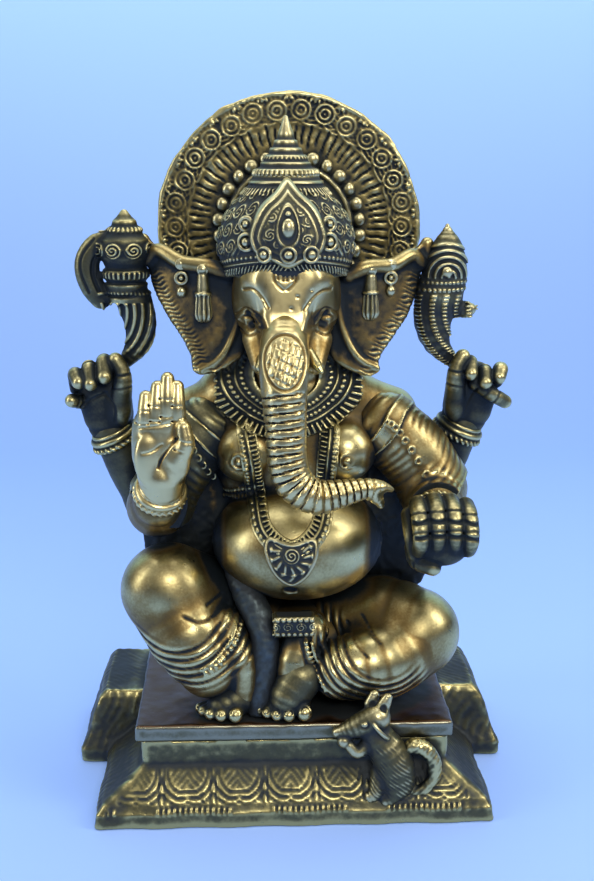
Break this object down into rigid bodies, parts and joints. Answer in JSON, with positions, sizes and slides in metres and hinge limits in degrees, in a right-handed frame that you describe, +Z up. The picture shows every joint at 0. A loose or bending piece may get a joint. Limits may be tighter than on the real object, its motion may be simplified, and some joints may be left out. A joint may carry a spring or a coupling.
{
  "type": "hindu deity statue",
  "caption": "Seated elephant-headed deity statue in cast brass, arms raised, with a round halo, on a stepped open plinth with a mouse on its front.",
  "frame": {"origin": "centre of the plinth's underside, on the surface it stands on", "axes": "+Z up; +X to the viewer's right, which is the deity's left; -Y towards the front"},
  "size_m": [0.194, 0.118, 0.3],
  "materials": {
    "aged_brass": "satin antique brass, polished on the high points, brown patina in the folds",
    "bright_brass": "polished pale brass with a light patina",
    "dark_brass": "chased relief with near-black patina between the raised lines"
  },
  "bodies": {
    "root": {"front_right_hand": "bright_brass", "head": "bright_brass", "trunk": "bright_brass", "right_tusk": "bright_brass", "left_tusk": "bright_brass", "plinth": "dark_brass", "waist_sash": "dark_brass", "belt_buckle": "dark_brass", "front_right_bangle": "dark_brass", "front_left_bangle": "dark_brass", "rear_right_bangle": "dark_brass", "rear_left_bangle": "dark_brass", "goad": "dark_brass", "lotus_bud": "dark_brass", "right_ear_pendants": "dark_brass", "left_ear_pendants": "dark_brass", "crown_dome": "dark_brass", "crown_plaque": "dark_brass", "crown_spire": "dark_brass", "halo_boss": "dark_brass", "collar": "dark_brass", "garland": "dark_brass", "garland_pendant": "dark_brass", "seat_slab": "aged_brass", "torso": "aged_brass", "right_leg": "aged_brass", "left_leg": "aged_brass", "right_foot": "aged_brass", "left_foot": "aged_brass", "front_right_arm": "aged_brass", "front_left_arm": "aged_brass", "front_left_hand": "aged_brass", "rear_right_arm": "aged_brass", "rear_right_hand": "aged_brass", "rear_left_arm": "aged_brass", "rear_left_hand": "aged_brass", "right_ear": "aged_brass", "left_ear": "aged_brass", "halo_disc": "aged_brass", "halo_lug": "aged_brass", "halo_rivet": "aged_brass", "right_shawl": "aged_brass", "left_shawl": "aged_brass", "mouse": "aged_brass", "mouse_tail": "aged_brass"}
  },
  "joints": []
}
